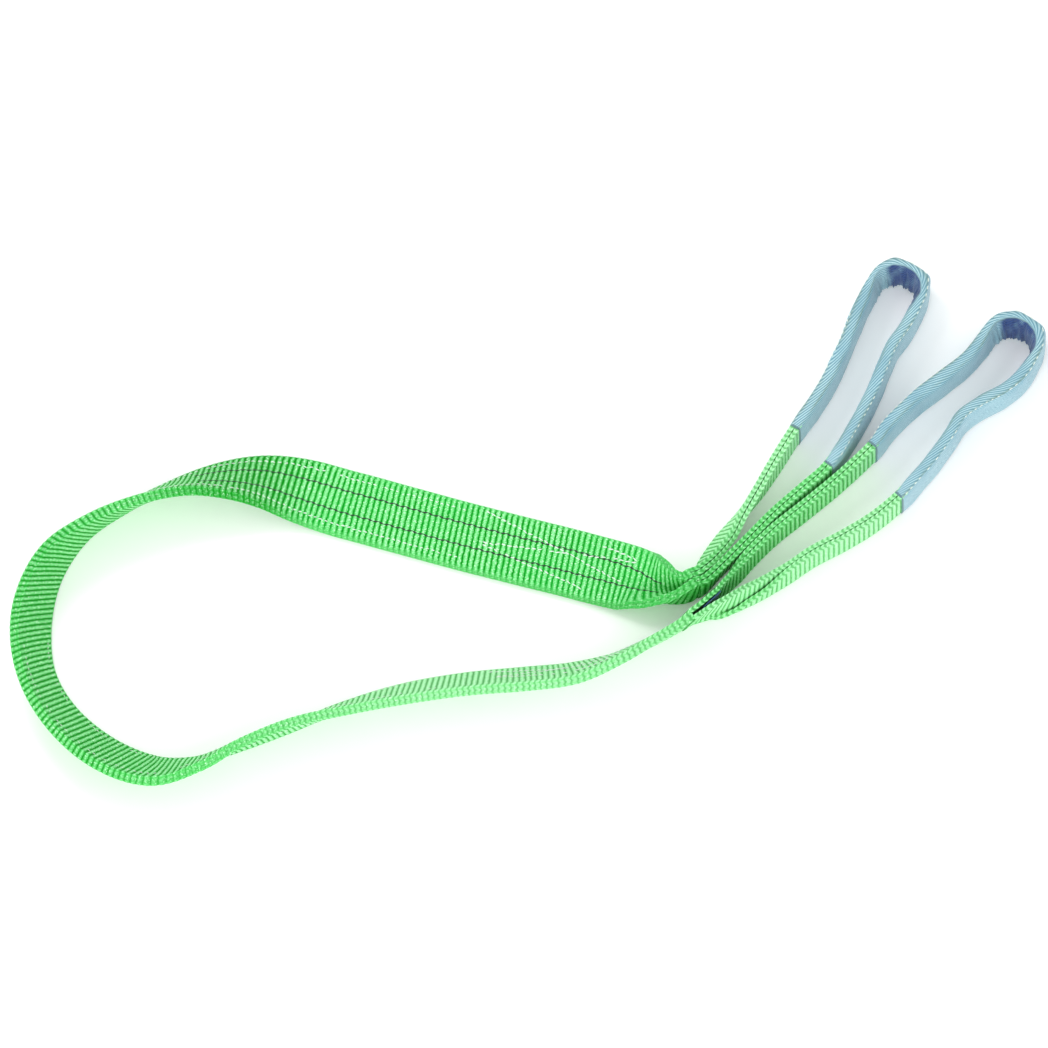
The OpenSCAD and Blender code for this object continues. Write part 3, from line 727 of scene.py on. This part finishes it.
def threads(name, lines, mat):
    """Many short threads in one mesh. Each is an array of rings (n, m, 3)."""
    verts, faces, uvs, base = [], [], [], 0
    for rings in lines:
        n, m = rings.shape[:2]
        span = lengths_along(rings.mean(1)) / MM
        verts.append(rings.reshape(-1, 3))
        i, j, a, b = ring_grid(n, m)
        faces.append(base + quads_of(a, b, b + m, a + m))
        u = quads_of(j, j + 1, j + 1, j) / m / UV_MM * THREAD_GIRTH
        v = quads_of(span[i], span[i], span[i + 1], span[i + 1]) / UV_MM
        uvs.append(np.stack([u, v], -1))
        k = np.arange(m // 2 - 1)
        for ring, turned in ((base, False), (base + (n - 1) * m, True)):
            cap = quads_of(ring + k, ring + m - 1 - k, ring + m - 2 - k, ring + k + 1)
            faces.append(cap[:, ::-1] if turned else cap)
            uvs.append(np.zeros((len(cap), 4, 2)))
        base += n * m
    piece = mesh_piece(name, *map(np.concatenate, (verts, faces, uvs)), mat)
    return piece


STITCH = np.linspace(-1, 1, 7)    # rings of one stitch, from end to end
STITCH_SINK = 0.1
STITCH_RISE = 0.28
STITCH_STRAY = 0.45


def taper(f):
    """Thickness of a stitch along it, from its round ends to its middle."""
    return np.sqrt(np.maximum(0.04, 1 - f ** 4))


def dashes(web, face, s0, s1, across0, across1, seed, share=0.62, radius=0.5, skip=0.12):
    """Stitches along a line on a face of the web, from length s0 to s1. Some are askew or missing."""
    rng = np.random.default_rng(int(seed) % 99991)
    slope = (across1 - across0) / (s1 - s0)
    run = math.hypot(1, slope)
    count = int(max(1, int(abs(s1 - s0) / PITCH)) * run)
    lines = []
    for k in range(count):
        c = s0 + (k + 0.5) * (s1 - s0) / count
        half = PITCH * share / 2 / run * rng.uniform(0.85, 1.1)
        lean = rng.uniform(-0.35, 0.35)
        if rng.uniform() < skip:
            continue
        s = c + half * STITCH
        stray = rng.uniform(-STITCH_STRAY, STITCH_STRAY)
        centre = across0 + slope * (s - s0) + stray + lean * half * STITCH
        r = radius * taper(STITCH) * rng.uniform(0.9, 1.1)
        lift = (1 - STITCH ** 2) * STITCH_RISE - STITCH_SINK
        lines.append(surface_line(web, face + np.sign(face) * lift, centre, s, r, 0.7))
    return lines


# ---- Body of the sling ----
STRETCHES = [
    ("far_run", 0, LOOP_ROW, ("upper", "lower")),
    ("loop", LOOP_ROW, NEAR_ROW, ("outer", "inner")),
    ("near_run", NEAR_ROW, BODY_END, ("outer", "inner")),
]
LAYERS = ((PLY_GAP / 2, PAIR_HALF), (-PAIR_HALF, -PLY_GAP / 2))
BLENDS = {
    "loop": ("far_run", "loop", at(-414, -100), at(-402, -175)),
    "near_run": ("loop", "near_run", at(-50, -162), at(20, -154)),
}
BOTH_FACES = (PAIR_HALF, -PAIR_HALF)
# (places along the body, how much): a painted highlight where the light falls, or painted shade below 0
BODY_PAINTED_LIGHT = ([0, 9.5, 11, 12.5, 14, 16, 20, 22, 24, 26, 31, 33],
              [0.0, 0.0, -0.75, -0.65, -0.20, -0.45, -0.45, 0.0, 0.16, 0.32, 0.32, 0.12])
# and knitted at its edges, or ribbed to its edges below 0
BODY_BRAID = ([0, 2, 4, 13, 15, 20, 22, 24, 33], [1.0, 0.5, 0.1, 0.0, -0.45, -0.45, 0.2, 0.6, 0.8])
# Lines of stitching at the throats: where each starts and ends, along the body and across it
THROAT_A = [[6.8, -26, 4.1, 7], [6.7, 3, 5.35, -6], [5.1, -8, 3.9, -16], [6.7, 5, 4.9, 22],
            [4.8, -21, 3.9, -18]]
THROAT_B = [[27.4, -18, 30.2, 7], [27.5, 3, 28.9, -6], [29.2, -8, 31.2, -16], [27.5, 5, 29.8, 20],
            [30.2, -21, 31.4, -18]]


def carry(piece, stretch):
    """The far run hangs on its own body, and each later stretch, which has its blend in BLENDS, is baked
    where it lies.
    """
    if stretch in BLENDS:
        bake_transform(piece)
    else:
        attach(piece, stretch)


def body_plies(stretch, first, last, names):
    for layer, faces_at in zip(names, LAYERS):
        node = f"{stretch}_{layer}_ply"
        piece, long = ply(f"web_{node}", DOUBLED, first, last, faces_at, BODY_PAINTED_LIGHT, BODY_BRAID)
        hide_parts(node)
        carry(piece, stretch)


def tracer_yarns():
    """Two dark yarns woven in along the upper face of the far run."""
    lines = []
    for w0 in (-TRACER_AT, TRACER_AT):
        s = grid_places(BODY, 2.6, 12.6, RING_STEP)
        hop = relief(np.full_like(s, w0), s - rake_at(BODY, place_at(BODY, s)) * w0, 17)
        centre = w0 + 0.45 * np.sin(s / PITCH * math.pi + w0) + 0.3 * ripple(s * 0.05, s * 0.0, 3)
        offset = PAIR_HALF - 0.42 * hop + 0.02
        lines.append(surface_line(DOUBLED, offset, centre, s, 0.30 + 0.60 * hop ** 0.7, 0.6))
    piece = threads("tracers_far_run", lines, TRACER)
    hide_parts("far_run_tracer_yarns")
    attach(piece, "far_run")


def edge_stitches(stretch, first, last, faces, seed, **look):
    """Two lines of stitches along the edges of a stretch of the body."""
    s0, s1 = body_length(first), body_length(last)
    lines = []
    for w in (-SEAM_AT, SEAM_AT):
        for face in faces:
            lines += dashes(DOUBLED, face, s0, s1, w, w, seed + w, **look)
    piece = threads(f"stitches_{stretch}_edges", lines, THREAD)
    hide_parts(f"{stretch}_edge_seams")
    carry(piece, stretch)


def throat_stitches(letter, stretch, table, faces, seed):
    """The lines of heavier stitches that close an eye."""
    lines = []
    for k, (t0, w0, t1, w1) in enumerate(table):
        for face in faces:
            lines += dashes(DOUBLED, face, body_length(t0), body_length(t1), w0, w1, seed + k,
                            share=0.84, radius=0.6, skip=0.06)
    piece = threads(f"stitches_throat_{letter}", lines, THREAD)
    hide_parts(f"throat_{letter}_stitching")
    carry(piece, stretch)


for stretch in STRETCHES:
    body_plies(*stretch)
tracer_yarns()
edge_stitches("far_run", 7, 14, [PAIR_HALF], 11)
throat_stitches("a", "far_run", THROAT_A, [PAIR_HALF], 30)
edge_stitches("loop", 17.3, 26.7, BOTH_FACES, 50, radius=0.36, share=0.5, skip=0.4)
edge_stitches("near_run", 27.2, 30, [PAIR_HALF], 80)
throat_stitches("b", "near_run", THROAT_B, BOTH_FACES, 90)


# ---- Eyes ----
# A leg's route, the row at the mouth of its sleeve, where it starts and ends its bend, and its painted
# highlight, paler where the light falls on it
Leg = namedtuple("Leg", "rows mouth start end faded")
# Lengths along a sleeve, its middle line, the directions out of it, the two lengths between which it
# turns round the bearing point, and the angle where that starts
Path = namedtuple("Path", "s line out arc0 arc1 angle0")
LEG_BRAID = ([0, 1], [1.0, 1.0])


def sleeve_path(left, right, crown, step=1.1):
    """Middle line of a sleeve from its left mouth round the bearing point to its right mouth."""
    t_left = np.linspace(left.mouth, len(left.rows) - 1, 400)
    t_right = np.linspace(len(right.rows) - 1, right.mouth, 400)
    arc = np.radians(np.linspace(crown[3], crown[2], 120))
    bend = np.stack([crown[0] + CROWN_R * np.cos(arc), crown[1] + CROWN_R * np.sin(arc)], 1)
    line = np.concatenate([row_at(left.rows, t_left)[:, :2], bend[1:-1], row_at(right.rows, t_right)[:, :2]])
    seg = lengths_along(line)
    distinct = np.concatenate([[True], np.diff(seg) > 1e-6])
    line, seg = line[distinct], seg[distinct]
    s = np.linspace(0, seg[-1], int(seg[-1] / step))
    p = np.stack([np.interp(s, seg, line[:, 0]), np.interp(s, seg, line[:, 1])], 1)
    head = np.gradient(p, axis=0)
    for _ in range(6):
        head[1:-1] = (head[:-2] + 2 * head[1:-1] + head[2:]) / 4
    head /= np.linalg.norm(head, axis=1)[:, None]
    out = np.stack([-head[:, 1], head[:, 0]], 1)
    arc0 = length_at(left.rows, len(left.rows) - 1) - length_at(left.rows, left.mouth)
    arc1 = arc0 + CROWN_R * math.radians(crown[3] - crown[2])
    return Path(s, p, out, arc0, arc1, crown[3])


def rounded(around, half_w, half_h):
    """Points round a rounded box of those half sizes, out and up from its middle."""
    n = np.sign(np.cos(around)) * np.abs(np.cos(around)) ** 0.50 * half_w
    z = np.sign(np.sin(around)) * np.abs(np.sin(around)) ** 0.42 * half_h
    return n, z


class SleeveShape:
    """The slack outer face of a sleeve: out and up, n and z, of the points round each section."""

    def __init__(self, path, seed, swells, corners):
        self.path, self.seed = path, seed
        self.around = np.linspace(0, 2 * np.pi, SLEEVE_POINTS, endpoint=False)
        side, rise = rounded(self.around, SLEEVE_HALF_W, SLEEVE_HALF_H)
        ring = np.stack([side, rise + SLEEVE_MID], 1)
        self.girth = lengths_along(np.concatenate([ring, ring[:1]]))
        size = (len(path.s), SLEEVE_POINTS)
        self.n = np.broadcast_to(ring[:, 0], size).copy()
        self.z = np.broadcast_to(ring[:, 1], size).copy()
        self.base_z = ring[:, 1]
        self.s = np.broadcast_to(path.s[:, None], size)
        self.u = np.broadcast_to(self.girth[:-1], size)
        self.up = np.clip((self.z - 2) / 32, 0, 1)
        self.inner = np.clip(-self.n / 5.8, 0, 1)
        # 1 round the bearing point and 0 along the rest
        rises = smoothstep(path.s, path.arc0 - 22, path.arc0 + 6)
        self.crown = (rises * (1 - smoothstep(path.s, path.arc1 - 6, path.arc1 + 22)))[:, None]
        self.gather()
        self.swell(swells)
        self.crease(corners)
        self.slacken()
        self.taper_ends()
        self.raise_welt()

    def gather(self):
        """At the bearing point the inside leans out to a narrow top edge, with ragged folds lower down."""
        folds = np.abs(ripple(self.s * 0.75, self.u * 0.05, self.seed + 9))
        self.n += self.crown * self.inner * self.up ** 1.5 * 3.6
        self.n -= self.crown * self.inner * (1 - self.up) ** 0.7 * 3.4 * folds

    def swell(self, swells):
        """The swells seen in the photo: where along, how long, how far, and on which face."""
        for centre, wide, amount, face in swells:
            pick = np.clip(face * np.cos(self.around), 0, 1) * (0.35 + 0.65 * self.up)
            self.n += np.exp(-((self.s - centre) / wide) ** 2) * pick * amount * face

    def crease(self, corners):
        """At the bearing point the sleeve has a few corners, at these angles, and is flatter between."""
        for angle, wide, amount in corners:
            centre = self.path.arc0 + CROWN_R * math.radians(self.path.angle0 - angle)
            outer = np.clip(np.cos(self.around) + 0.15, 0, 1)
            self.n += np.exp(-((self.s - centre) / wide) ** 2) * outer * (0.5 + 0.5 * self.up) * amount

    def slacken(self):
        """The cloth sags and swells a little all along, and is crumpled inside the bearing point."""
        s, u, seed = self.s, self.u, self.seed
        slack = ripple(s * 0.035, u * 0.10, seed)
        wrinkle = ripple(s * 0.16, u * 0.22, seed + 1)
        fine = ripple(s * 0.45 + u * 0.3, u * 0.35, seed + 2)
        swell = 0.55 * slack + 0.32 * wrinkle + 0.12 * fine
        crumple = ripple(s * 0.55, u * 0.12, seed + 3)
        crease = self.crown * self.inner * (0.9 * crumple + 0.5 * np.abs(ripple(s * 0.9, u * 0.3, seed + 4)))
        inward = -0.50 + np.minimum(swell, 0.6) - 0.9 * crease
        self.n += np.cos(self.around) * inward
        self.z += np.where(self.z < 2.0, 0, np.sin(self.around) * 0.25 * inward)

    def taper_ends(self):
        """The sleeve is narrower at both mouths."""
        ends = np.minimum(self.path.s, self.path.s[-1] - self.path.s)
        pinch = (1 - smoothstep(ends, 0, 14))[:, None]
        self.n *= 1 - 0.10 * pinch
        self.z = SLEEVE_MID + (self.z - SLEEVE_MID) * (1 - 0.03 * pinch)

    def raise_welt(self):
        """The welt of the seam runs along the outside, towards the top."""
        welt = np.exp(-((self.around - WELT_ANGLE) / 0.16) ** 2)
        self.n += welt * 0.9
        self.z = np.clip(self.z + welt * 0.25, 0.15, SLEEVE_TOP)

    def shades(self, dark_from):
        """How much painted shade, partly navy soiling, falls on the outer face and the lining round the
        bearing point, and how worn the edges are.
        """
        s, arc0, arc1 = self.path.s, self.path.arc0, self.path.arc1
        dark = smoothstep(s, arc0 + dark_from, arc0 + dark_from + 10)
        dark = dark * (1 - smoothstep(s, arc1 + 2, arc1 + 20))
        low = smoothstep(self.base_z + 0 * self.n, -2, 6)
        shade = dark[:, None] * smoothstep(self.inner, 0.35, 0.9) * low
        shade = shade * (1.05 + 0.35 * ripple(self.s * 0.25, self.u * 0.3, self.seed + 6))
        edge = 1 - smoothstep(np.abs(np.abs(np.sin(self.around)) - 0.93), 0.0, 0.09)
        worn = edge * (0.65 + 0.6 * ripple(self.s * 0.07, self.u * 0.2, self.seed + 7))
        # the whole lining round the bearing point gets the painted shade
        lining = self.crown + 0 * self.n
        return [("shade", np.clip(np.concatenate([shade.ravel(), lining.ravel()]), 0, 1)),
                ("worn", np.concatenate([np.clip(worn, 0, 1).ravel(), 0 * worn.ravel()]))]


def sleeve(name, shape, dark_from):
    """A double-walled tube: the outer face, the lining, and a lip that joins them at each mouth."""
    path, u = shape.path, shape.girth
    s = path.s
    n, m = shape.n.shape
    wall_n, wall_z = rounded(shape.around, SLEEVE_WALL, SLEEVE_WALL)
    line, out = columns(path.line), columns(path.out)
    outer = placed(line, out, shape.n, shape.z)
    lining = placed(line, out, shape.n - wall_n, shape.z - wall_z)
    i, j, a, b = ring_grid(n, m)
    quads = quads_of(a, a + m, b + m, b)
    uu = quads_of(u[j], u[j], u[j + 1], u[j + 1])
    vv = quads_of(s[i], s[i + 1], s[i + 1], s[i])
    uv = np.stack([uu, vv], -1) / UV_MM
    inside, end = n * m, (n - 1) * m
    k = np.arange(m)
    after = (k + 1) % m
    first_lip = quads_of(k, after, inside + after, inside + k)
    last_lip = quads_of(end + after, end + k, inside + end + k, inside + end + after)
    lip_uv = np.zeros((m, 4, 2))
    lip_uv[:, :, 0] = (u[k] / UV_MM)[:, None]
    faces = np.concatenate([quads, quads[:, ::-1] + inside, first_lip, last_lip])
    uvs = np.concatenate([uv, uv[:, ::-1], lip_uv, lip_uv])
    points = np.concatenate([outer.reshape(-1, 3), lining.reshape(-1, 3)])
    piece = mesh_piece(name, points, faces, uvs, SLEEVE, attributes=shape.shades(dark_from))
    return piece


def welt_stitches(shape):
    """Short stitches along the welt of a sleeve."""
    path = shape.path
    s = path.s
    rng = np.random.default_rng(int(shape.seed) % 99991)
    at_welt = int(np.argmin(np.abs(shape.around - WELT_ANGLE)))
    r = 0.42 * taper(STITCH)
    lines = []
    for c in np.arange(4, s[-1] - 4, 5.8):
        ss = c + 1.5 * STITCH * rng.uniform(0.7, 1.15)
        if rng.uniform() < 0.3:
            continue
        nn = np.interp(ss, s, shape.n[:, at_welt]) + 0.15
        zz = np.interp(ss, s, shape.z[:, at_welt]) + 0.15 + 0.25 * (1 - STITCH ** 2)
        line = [np.interp(ss, s, path.line[:, axis])[:, None] for axis in (0, 1)]
        out = [np.interp(ss, s, path.out[:, axis])[:, None] for axis in (0, 1)]
        nr = nn[:, None] + r[:, None] * np.cos(THREAD_ROUND)
        zr = zz[:, None] + r[:, None] * np.sin(THREAD_ROUND)
        lines.append(placed(line, out, nr, zr))
    return lines


HEM_SECTION = ((0.0, 0.9), (0.55, 0.5), (0.7, 0.0), (0.55, -0.6), (0.0, -1.0), (-0.9, -0.9), (-0.9, 0.8))


def hem_ring(path, index, inward):
    """The points of the hem at one mouth, (n, m, 3). inward is 1 where the path starts, -1 where it ends."""
    line, out = path.line[index], path.out[index]
    head = np.array([out[1], -out[0]]) * inward
    around = np.linspace(0, 2 * np.pi, 48, endpoint=False)
    rings = []
    for lift, back in HEM_SECTION:
        nn, zz = rounded(around, HEM_HALF_W + lift, HEM_HALF_H + lift)
        rings.append(placed(line - head * back, out, nn, zz + SLEEVE_MID))
    return np.array(rings)


def hems(name, path):
    """The dark hem at both mouths of a sleeve."""
    verts, faces, uvs, base = [], [], [], 0
    for index, inward in ((0, 1), (len(path.s) - 1, -1)):
        rings = hem_ring(path, index, inward)
        n, m = rings.shape[:2]
        verts.append(rings.reshape(-1, 3))
        i, j, a, b = ring_grid(n + 1, m)
        c, d = ((i + 1) % n) * m + (j + 1) % m, ((i + 1) % n) * m + j
        quads = base + quads_of(a, b, c, d)
        faces.append(quads if inward > 0 else quads[:, ::-1])
        uv = np.stack([quads_of(i, i, i + 1, i + 1), quads_of(j, j + 1, j + 1, j) * 2], -1)
        uvs.append(uv / UV_MM)
        base += n * m
    piece = mesh_piece(name, *map(np.concatenate, (verts, faces, uvs)), HEM)
    return piece


def eye(letter, left, right, crown, side, seed, dark_from, swells, corners):
    """One eye: two folded legs that bend at the throat, and a sleeve with its seam and hems."""
    body = f"eye_{letter}"
    for which, leg in (("left", left), ("right", right)):
        name = f"{body}_{which}_leg"
        web = Web(leg.rows, side, PLY_TURN, PLY_T / 2)
        piece, long = ply(f"web_{name}", web, 0, leg.mouth + 0.35, (-PLY_T / 2, PLY_T / 2), leg.faded,
                          LEG_BRAID, depth=0.5, back=1.2)
        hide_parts(name)
        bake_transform(piece)
    path = sleeve_path(left, right, crown)
    shape = SleeveShape(path, seed, swells, corners)
    piece = sleeve(f"sleeve_{body}", shape, dark_from)
    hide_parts(f"{body}_sleeve_left", f"{body}_sleeve_right", f"{body}_sleeve_bearing",
                f"{body}_crown_web")
    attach(piece, body)
    seam = threads(f"stitches_sleeve_{letter}", welt_stitches(shape), THREAD)
    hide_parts(f"{body}_sleeve_seam")
    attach(seam, body)
    both_hems = hems(f"hems_{body}", path)
    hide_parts(f"{body}_sleeve_hems")
    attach(both_hems, body)


# the last lists of each leg are its painted highlight: places along it, how much
eye("a",
    left=Leg(A_LEFT, 7, at(140, -60), at(172, -12), ([0, 2, 4, 6], [0.0, 0.16, 0.46, 0.52])),
    right=Leg(A_RIGHT, 6, at(145, -68), at(190, -22), ([0, 3, 6], [0.0, 0.06, 0.18])),
    crown=CROWN_A, side=-1, seed=101, dark_from=12,
    swells=[(70, 22, 1.6, 1), (228, 9, 2.0, -1), (112, 14, 1.2, 1), (155, 10, -4.0, 1)],
    corners=[(93, 5, 2.2), (58, 7, -1.0), (22, 6, 3.6), (-10, 8, -0.6)])
eye("b",
    left=Leg(B_LEFT, 10, at(134, -101), at(147, -89), ([0, 1.5, 5, 9, 10], [0.15, 0.03, 0.08, 0.20, 0.35])),
    right=Leg(B_RIGHT, 10, at(138, -106), at(151, -98), ([0, 4, 8], [0.20, 0.32, 0.45])),
    crown=CROWN_B, side=1, seed=202, dark_from=4,
    swells=[(80, 16, 2.0, -1), (196, 12, 2.0, 1)],
    corners=[(112, 5, 1.2), (80, 5, 1.6), (52, 6, -0.8), (26, 6, 1.8), (-8, 7, -0.5)])


# ---- Label ----
def label_tag():
    """A thin tape between the legs of eye B, whose free end curls towards the right-hand leg."""
    count, tall = 60, 28
    t = np.linspace(0, len(LABEL) - 1, count)
    row = row_at(LABEL, t)
    left = left_of(LABEL, t)
    z = np.linspace(0.0, LABEL_TALL, tall)
    places, heights = np.meshgrid(t, z, indexing="ij")
    lean = 1 / np.tan(np.radians(row[:, 2:3]))
    wave = -0.9 * smoothstep(places, 1.2, 3.0) * (0.6 + 0.4 * np.sin(heights * 0.16 + 1))
    section_z = np.concatenate([heights, heights[:, ::-1]], 1)
    section_n = np.concatenate([wave + LABEL_HALF_T, (wave - LABEL_HALF_T)[:, ::-1]], 1) + lean * section_z
    rings = placed(columns(row), columns(left), section_n, section_z + row[:, 5:6])
    m = 2 * tall
    across = np.concatenate([z, z[::-1], [z[0]]]) / UV_MM
    length = lengths_along(row[:, :2])
    along = length / UV_MM
    i, j, a, b = ring_grid(count, m)
    uu = quads_of(across[j], across[j + 1], across[j + 1], across[j])
    vv = quads_of(along[i + 1], along[i + 1], along[i], along[i])
    sides = quads_of(a + m, b + m, b, a)
    faces, uvs = closed(count, m, sides, np.stack([uu, vv], -1), across, along)
    piece = mesh_piece("label_tag", rings.reshape(-1, 3), faces, uvs, LABEL_CLOTH)
    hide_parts("label")
    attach(piece, "label")


def label_stitches():
    """One upright line of stitches that holds the label."""
    row = row_at(LABEL, np.array([1.5]))[0]
    left = left_of(LABEL, np.array([1.5]))[0]
    lean = 1 / math.tan(math.radians(row[2]))
    head = np.array([left[1], -left[0]])
    r = 0.40 * taper(STITCH)
    lines = []
    for foot in np.arange(4, 24, 4.6):
        zz = foot + 1.5 * STITCH
        nn = (lean * zz - 0.42)[:, None] + 0.6 * r[:, None] * np.sin(THREAD_ROUND)
        hh = r[:, None] * np.cos(THREAD_ROUND)
        line = (row[0] + head[0] * hh, row[1] + head[1] * hh)
        lines.append(placed(line, left, nn, zz[:, None] + row[5]))
    piece = threads("stitches_label", lines, THREAD)
    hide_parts("label_stitching")
    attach(piece, "label")


label_tag()
label_stitches()

# ---- Floor ----
FLOOR_SIZE = 8
FLOOR_DROP = 0.3 * MM    # just below the sling, so that the two don't flicker
bpy.ops.mesh.primitive_plane_add(size=FLOOR_SIZE, location=(0, 0, -FLOOR_DROP))
floor = bpy.context.object
floor.name = "floor"
floor.data.materials.append(floor_material())
